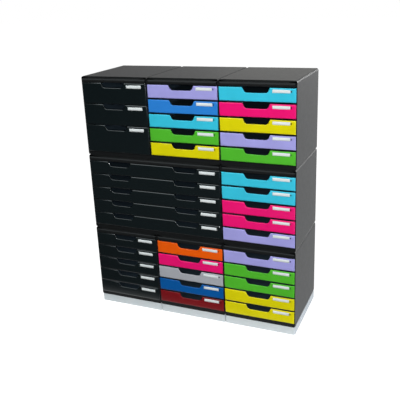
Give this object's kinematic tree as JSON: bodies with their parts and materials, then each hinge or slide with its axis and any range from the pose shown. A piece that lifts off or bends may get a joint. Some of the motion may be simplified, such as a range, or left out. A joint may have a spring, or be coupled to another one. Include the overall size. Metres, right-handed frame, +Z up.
{
  "type": "drawer unit bank",
  "caption": "Bank of stacked moulded drawer modules on a low plinth, with shallow, tall and double-width paper drawers that slide out by finger notches.",
  "frame": {"origin": "on the floor under the middle of the bank's bounding box", "axes": "+X to the right seen from the front, the drawer fronts face -Y and the drawers slide out towards -Y, +Z up"},
  "size_m": [0.8636, 0.33, 0.9827],
  "materials": {
    "casing_black": "fine textured black polystyrene",
    "drawer_black": "glossy black polystyrene",
    "drawer_lavender": "glossy lavender polystyrene",
    "drawer_blue": "glossy blue polystyrene",
    "drawer_turquoise": "glossy turquoise polystyrene",
    "drawer_green": "glossy green polystyrene",
    "drawer_yellow": "glossy yellow polystyrene",
    "drawer_pink": "glossy pink polystyrene",
    "drawer_orange": "glossy orange polystyrene",
    "drawer_grey": "glossy light grey polystyrene",
    "drawer_dark_blue": "glossy dark blue polystyrene",
    "drawer_burgundy": "glossy burgundy polystyrene",
    "plinth_grey": "satin light grey plastic"
  },
  "bodies": {
    "bank": {"plinth_left": "plinth_grey", "plinth_middle": "plinth_grey", "plinth_right": "plinth_grey", "casing_top_left": "casing_black", "casing_top_middle": "casing_black", "casing_top_right": "casing_black", "casing_middle_wide": "casing_black", "casing_middle_right": "casing_black", "casing_bottom_left": "casing_black", "casing_bottom_middle": "casing_black", "casing_bottom_right": "casing_black"},
    "top_left_1": {"drawer_top_left_1": "drawer_black"},
    "top_left_2": {"drawer_top_left_2": "drawer_black"},
    "top_left_3": {"drawer_top_left_3": "drawer_black"},
    "top_middle_1": {"drawer_top_middle_1": "drawer_lavender"},
    "top_middle_2": {"drawer_top_middle_2": "drawer_blue"},
    "top_middle_3": {"drawer_top_middle_3": "drawer_turquoise"},
    "top_middle_4": {"drawer_top_middle_4": "drawer_green"},
    "top_middle_5": {"drawer_top_middle_5": "drawer_yellow"},
    "top_right_1": {"drawer_top_right_1": "drawer_turquoise"},
    "top_right_2": {"drawer_top_right_2": "drawer_pink"},
    "top_right_3": {"drawer_top_right_3": "drawer_yellow"},
    "top_right_4": {"drawer_top_right_4": "drawer_lavender"},
    "top_right_5": {"drawer_top_right_5": "drawer_green"},
    "middle_wide_1": {"drawer_middle_wide_1": "drawer_black"},
    "middle_wide_2": {"drawer_middle_wide_2": "drawer_black"},
    "middle_wide_3": {"drawer_middle_wide_3": "drawer_black"},
    "middle_wide_4": {"drawer_middle_wide_4": "drawer_black"},
    "middle_wide_5": {"drawer_middle_wide_5": "drawer_black"},
    "middle_right_1": {"drawer_middle_right_1": "drawer_turquoise"},
    "middle_right_2": {"drawer_middle_right_2": "drawer_turquoise"},
    "middle_right_3": {"drawer_middle_right_3": "drawer_pink"},
    "middle_right_4": {"drawer_middle_right_4": "drawer_pink"},
    "middle_right_5": {"drawer_middle_right_5": "drawer_lavender"},
    "bottom_left_1": {"drawer_bottom_left_1": "drawer_black"},
    "bottom_left_2": {"drawer_bottom_left_2": "drawer_black"},
    "bottom_left_3": {"drawer_bottom_left_3": "drawer_black"},
    "bottom_left_4": {"drawer_bottom_left_4": "drawer_black"},
    "bottom_left_5": {"drawer_bottom_left_5": "drawer_black"},
    "bottom_middle_1": {"drawer_bottom_middle_1": "drawer_orange"},
    "bottom_middle_2": {"drawer_bottom_middle_2": "drawer_pink"},
    "bottom_middle_3": {"drawer_bottom_middle_3": "drawer_grey"},
    "bottom_middle_4": {"drawer_bottom_middle_4": "drawer_dark_blue"},
    "bottom_middle_5": {"drawer_bottom_middle_5": "drawer_burgundy"},
    "bottom_right_1": {"drawer_bottom_right_1": "drawer_lavender"},
    "bottom_right_2": {"drawer_bottom_right_2": "drawer_green"},
    "bottom_right_3": {"drawer_bottom_right_3": "drawer_green"},
    "bottom_right_4": {"drawer_bottom_right_4": "drawer_yellow"},
    "bottom_right_5": {"drawer_bottom_right_5": "drawer_yellow"}
  },
  "joints": [
    {"name": "top_left_1_slide", "type": "slide", "parent": "bank", "child": "top_left_1", "axis": [0, -1, 0], "range_m": [0, 0.25]},
    {"name": "top_left_2_slide", "type": "slide", "parent": "bank", "child": "top_left_2", "axis": [0, -1, 0], "range_m": [0, 0.25]},
    {"name": "top_left_3_slide", "type": "slide", "parent": "bank", "child": "top_left_3", "axis": [0, -1, 0], "range_m": [0, 0.25]},
    {"name": "top_middle_1_slide", "type": "slide", "parent": "bank", "child": "top_middle_1", "axis": [0, -1, 0], "range_m": [0, 0.25]},
    {"name": "top_middle_2_slide", "type": "slide", "parent": "bank", "child": "top_middle_2", "axis": [0, -1, 0], "range_m": [0, 0.25]},
    {"name": "top_middle_3_slide", "type": "slide", "parent": "bank", "child": "top_middle_3", "axis": [0, -1, 0], "range_m": [0, 0.25]},
    {"name": "top_middle_4_slide", "type": "slide", "parent": "bank", "child": "top_middle_4", "axis": [0, -1, 0], "range_m": [0, 0.25]},
    {"name": "top_middle_5_slide", "type": "slide", "parent": "bank", "child": "top_middle_5", "axis": [0, -1, 0], "range_m": [0, 0.25]},
    {"name": "top_right_1_slide", "type": "slide", "parent": "bank", "child": "top_right_1", "axis": [0, -1, 0], "range_m": [0, 0.25]},
    {"name": "top_right_2_slide", "type": "slide", "parent": "bank", "child": "top_right_2", "axis": [0, -1, 0], "range_m": [0, 0.25]},
    {"name": "top_right_3_slide", "type": "slide", "parent": "bank", "child": "top_right_3", "axis": [0, -1, 0], "range_m": [0, 0.25]},
    {"name": "top_right_4_slide", "type": "slide", "parent": "bank", "child": "top_right_4", "axis": [0, -1, 0], "range_m": [0, 0.25]},
    {"name": "top_right_5_slide", "type": "slide", "parent": "bank", "child": "top_right_5", "axis": [0, -1, 0], "range_m": [0, 0.25]},
    {"name": "middle_wide_1_slide", "type": "slide", "parent": "bank", "child": "middle_wide_1", "axis": [0, -1, 0], "range_m": [0, 0.25]},
    {"name": "middle_wide_2_slide", "type": "slide", "parent": "bank", "child": "middle_wide_2", "axis": [0, -1, 0], "range_m": [0, 0.25]},
    {"name": "middle_wide_3_slide", "type": "slide", "parent": "bank", "child": "middle_wide_3", "axis": [0, -1, 0], "range_m": [0, 0.25]},
    {"name": "middle_wide_4_slide", "type": "slide", "parent": "bank", "child": "middle_wide_4", "axis": [0, -1, 0], "range_m": [0, 0.25]},
    {"name": "middle_wide_5_slide", "type": "slide", "parent": "bank", "child": "middle_wide_5", "axis": [0, -1, 0], "range_m": [0, 0.25]},
    {"name": "middle_right_1_slide", "type": "slide", "parent": "bank", "child": "middle_right_1", "axis": [0, -1, 0], "range_m": [0, 0.25]},
    {"name": "middle_right_2_slide", "type": "slide", "parent": "bank", "child": "middle_right_2", "axis": [0, -1, 0], "range_m": [0, 0.25]},
    {"name": "middle_right_3_slide", "type": "slide", "parent": "bank", "child": "middle_right_3", "axis": [0, -1, 0], "range_m": [0, 0.25]},
    {"name": "middle_right_4_slide", "type": "slide", "parent": "bank", "child": "middle_right_4", "axis": [0, -1, 0], "range_m": [0, 0.25]},
    {"name": "middle_right_5_slide", "type": "slide", "parent": "bank", "child": "middle_right_5", "axis": [0, -1, 0], "range_m": [0, 0.25]},
    {"name": "bottom_left_1_slide", "type": "slide", "parent": "bank", "child": "bottom_left_1", "axis": [0, -1, 0], "range_m": [0, 0.25]},
    {"name": "bottom_left_2_slide", "type": "slide", "parent": "bank", "child": "bottom_left_2", "axis": [0, -1, 0], "range_m": [0, 0.25]},
    {"name": "bottom_left_3_slide", "type": "slide", "parent": "bank", "child": "bottom_left_3", "axis": [0, -1, 0], "range_m": [0, 0.25]},
    {"name": "bottom_left_4_slide", "type": "slide", "parent": "bank", "child": "bottom_left_4", "axis": [0, -1, 0], "range_m": [0, 0.25]},
    {"name": "bottom_left_5_slide", "type": "slide", "parent": "bank", "child": "bottom_left_5", "axis": [0, -1, 0], "range_m": [0, 0.25]},
    {"name": "bottom_middle_1_slide", "type": "slide", "parent": "bank", "child": "bottom_middle_1", "axis": [0, -1, 0], "range_m": [0, 0.25]},
    {"name": "bottom_middle_2_slide", "type": "slide", "parent": "bank", "child": "bottom_middle_2", "axis": [0, -1, 0], "range_m": [0, 0.25]},
    {"name": "bottom_middle_3_slide", "type": "slide", "parent": "bank", "child": "bottom_middle_3", "axis": [0, -1, 0], "range_m": [0, 0.25]},
    {"name": "bottom_middle_4_slide", "type": "slide", "parent": "bank", "child": "bottom_middle_4", "axis": [0, -1, 0], "range_m": [0, 0.25]},
    {"name": "bottom_middle_5_slide", "type": "slide", "parent": "bank", "child": "bottom_middle_5", "axis": [0, -1, 0], "range_m": [0, 0.25]},
    {"name": "bottom_right_1_slide", "type": "slide", "parent": "bank", "child": "bottom_right_1", "axis": [0, -1, 0], "range_m": [0, 0.25]},
    {"name": "bottom_right_2_slide", "type": "slide", "parent": "bank", "child": "bottom_right_2", "axis": [0, -1, 0], "range_m": [0, 0.25]},
    {"name": "bottom_right_3_slide", "type": "slide", "parent": "bank", "child": "bottom_right_3", "axis": [0, -1, 0], "range_m": [0, 0.25]},
    {"name": "bottom_right_4_slide", "type": "slide", "parent": "bank", "child": "bottom_right_4", "axis": [0, -1, 0], "range_m": [0, 0.25]},
    {"name": "bottom_right_5_slide", "type": "slide", "parent": "bank", "child": "bottom_right_5", "axis": [0, -1, 0], "range_m": [0, 0.25]}
  ]
}
